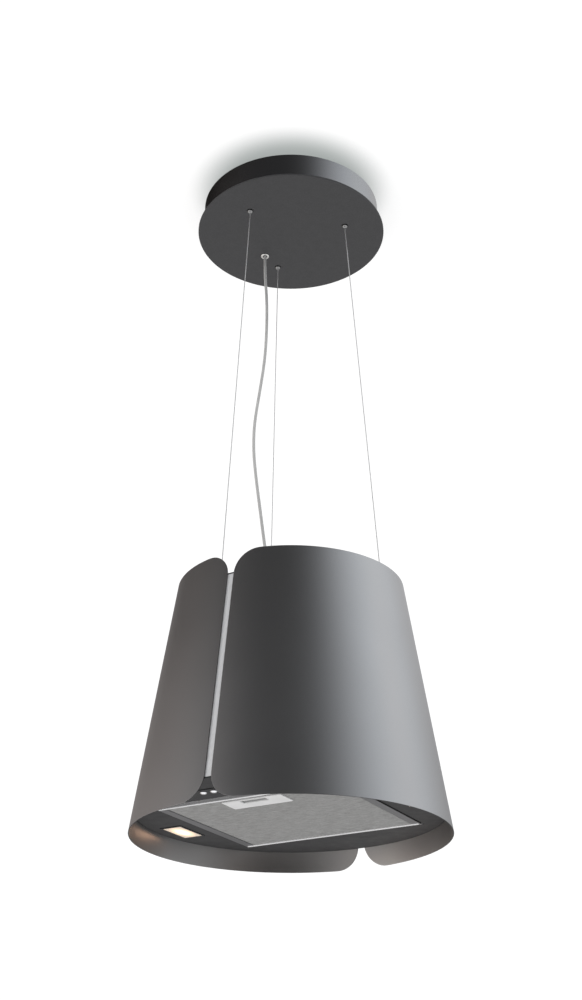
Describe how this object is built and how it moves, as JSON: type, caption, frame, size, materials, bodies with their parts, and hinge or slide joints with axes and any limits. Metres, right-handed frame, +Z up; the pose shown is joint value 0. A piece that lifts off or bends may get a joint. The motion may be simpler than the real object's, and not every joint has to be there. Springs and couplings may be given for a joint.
{
  "type": "range hood",
  "caption": "Ceiling-hung island range hood: a tapered split shell on steel wires below a round ceiling canopy, with a hinged grease filter, lamps and push buttons.",
  "frame": {"origin": "centre of the ceiling plate's mounting face", "axes": "+Z up towards the ceiling, -Y towards the front slit between the half shells, +X to the right half shell"},
  "size_m": [0.455, 0.451, 1.092],
  "materials": {
    "shell_paint": "satin graphite metallic paint",
    "canopy_paint": "satin graphite metallic paint",
    "dark_paint": "matte dark grey powder paint",
    "cover_paint": "matte dark grey powder paint",
    "profile_aluminium": "satin anodised",
    "zinc_steel": "zinc-plated sheet",
    "screw_steel": "zinc-plated",
    "nickel": "nickel-plated brass",
    "spring_steel": "plain",
    "magnet": "nickel-plated",
    "wire_steel": "stranded steel wire",
    "cord_sheath": "light grey sheath",
    "gland_plastic": "grey",
    "filter_frame_aluminium": "satin",
    "filter_mesh_aluminium": "fine expanded mesh",
    "handle_plastic": "satin light grey",
    "carbon_case": "black",
    "fan_plastic": "dark grey",
    "motor_steel": "galvanised",
    "rubber": "black",
    "box_plastic": "dark grey",
    "lamp_lens": "frosted diffuser, lit warm white",
    "button_chrome": "polished"
  },
  "bodies": {
    "hood": {"base_plate": "dark_paint", "button_bezel": "dark_paint", "canopy_drum": "canopy_paint", "ceiling_bracket": "zinc_steel", "control_box": "box_plastic", "cord_gland_canopy": "gland_plastic", "cord_gland_hood": "gland_plastic", "cover_magnets": "magnet", "cover_screws": "screw_steel", "drum_screws": "screw_steel", "filter_tray": "zinc_steel", "gripper_body_a": "nickel", "gripper_body_b": "nickel", "gripper_body_c": "nickel", "gripper_lock_nuts": "zinc_steel", "gripper_spring_a": "spring_steel", "gripper_spring_b": "spring_steel", "gripper_spring_c": "spring_steel", "inlet_ring": "fan_plastic", "lamp_bezel_left": "dark_paint", "lamp_bezel_right": "dark_paint", "lamp_lens_left": "lamp_lens", "lamp_lens_right": "lamp_lens", "motor_body": "motor_steel", "motor_bracket": "zinc_steel", "motor_deck": "zinc_steel", "power_cord": "cord_sheath", "rubber_mounts": "rubber", "shell_left": "shell_paint", "shell_right": "shell_paint", "slit_profile_front": "profile_aluminium", "slit_profile_rear": "profile_aluminium", "suspension_ring": "zinc_steel", "suspension_wire_a": "wire_steel", "suspension_wire_b": "wire_steel", "suspension_wire_c": "wire_steel", "switch_board": "box_plastic", "terminal_block": "gland_plastic", "top_cover": "cover_paint", "wire_anchors": "nickel"},
    "canopy_disc": {"canopy_disc": "canopy_paint", "cord_ring": "nickel"},
    "grease_filter": {"filter_frame": "filter_frame_aluminium", "filter_mesh": "filter_mesh_aluminium", "filter_core": "filter_mesh_aluminium", "filter_handle": "handle_plastic", "latch_spring": "spring_steel"},
    "filter_latch": {"filter_latch": "handle_plastic"},
    "carbon_filter": {"carbon_filter": "carbon_case"},
    "impeller": {"impeller": "fan_plastic", "motor_shaft": "motor_steel"},
    "gripper_plunger_a": {"gripper_plunger_a": "nickel"},
    "gripper_plunger_b": {"gripper_plunger_b": "nickel"},
    "gripper_plunger_c": {"gripper_plunger_c": "nickel"},
    "button_1": {"button_1": "button_chrome"},
    "button_2": {"button_2": "button_chrome"},
    "button_3": {"button_3": "button_chrome"},
    "button_4": {"button_4": "button_chrome"},
    "button_5": {"button_5": "button_chrome"},
    "button_6": {"button_6": "button_chrome"}
  },
  "joints": [
    {"name": "disc_slide", "type": "slide", "parent": "hood", "child": "canopy_disc", "axis": [0, 0, -1], "range_m": [0, 0.04]},
    {"name": "filter_hinge", "type": "hinge", "parent": "hood", "child": "grease_filter", "pos_m": [0, 0.126, -1.0575], "axis": [1, 0, 0], "range_deg": [0, 70]},
    {"name": "latch_slide", "type": "slide", "parent": "grease_filter", "child": "filter_latch", "axis": [0, 1, 0], "range_m": [0, 0.006], "stiffness_N_per_m": 300, "springref_m": -0.002, "deforming": ["latch_spring"]},
    {"name": "carbon_twist", "type": "hinge", "parent": "hood", "child": "carbon_filter", "pos_m": [0, 0, -0.994], "axis": [0, 0, 1], "range_deg": [0, 20]},
    {"name": "impeller_spin", "type": "hinge", "parent": "hood", "child": "impeller", "pos_m": [0, 0, -0.944], "axis": [0, 0, 1], "continuous": true},
    {"name": "gripper_release_a", "type": "slide", "parent": "hood", "child": "gripper_plunger_a", "axis": [0, 0, 1], "range_m": [0, 0.003], "stiffness_N_per_m": 1000, "springref_m": -0.002, "deforming": ["gripper_spring_a"]},
    {"name": "gripper_release_b", "type": "slide", "parent": "hood", "child": "gripper_plunger_b", "axis": [0, 0, 1], "range_m": [0, 0.003], "stiffness_N_per_m": 1000, "springref_m": -0.002, "deforming": ["gripper_spring_b"]},
    {"name": "gripper_release_c", "type": "slide", "parent": "hood", "child": "gripper_plunger_c", "axis": [0, 0, 1], "range_m": [0, 0.003], "stiffness_N_per_m": 1000, "springref_m": -0.002, "deforming": ["gripper_spring_c"]},
    {"name": "button_press_1", "type": "slide", "parent": "hood", "child": "button_1", "axis": [0, 0, 1], "range_m": [0, 0.0012], "stiffness_N_per_m": 800, "springref_m": -0.001},
    {"name": "button_press_2", "type": "slide", "parent": "hood", "child": "button_2", "axis": [0, 0, 1], "range_m": [0, 0.0012], "stiffness_N_per_m": 800, "springref_m": -0.001},
    {"name": "button_press_3", "type": "slide", "parent": "hood", "child": "button_3", "axis": [0, 0, 1], "range_m": [0, 0.0012], "stiffness_N_per_m": 800, "springref_m": -0.001},
    {"name": "button_press_4", "type": "slide", "parent": "hood", "child": "button_4", "axis": [0, 0, 1], "range_m": [0, 0.0012], "stiffness_N_per_m": 800, "springref_m": -0.001},
    {"name": "button_press_5", "type": "slide", "parent": "hood", "child": "button_5", "axis": [0, 0, 1], "range_m": [0, 0.0012], "stiffness_N_per_m": 800, "springref_m": -0.001},
    {"name": "button_press_6", "type": "slide", "parent": "hood", "child": "button_6", "axis": [0, 0, 1], "range_m": [0, 0.0012], "stiffness_N_per_m": 800, "springref_m": -0.001}
  ]
}
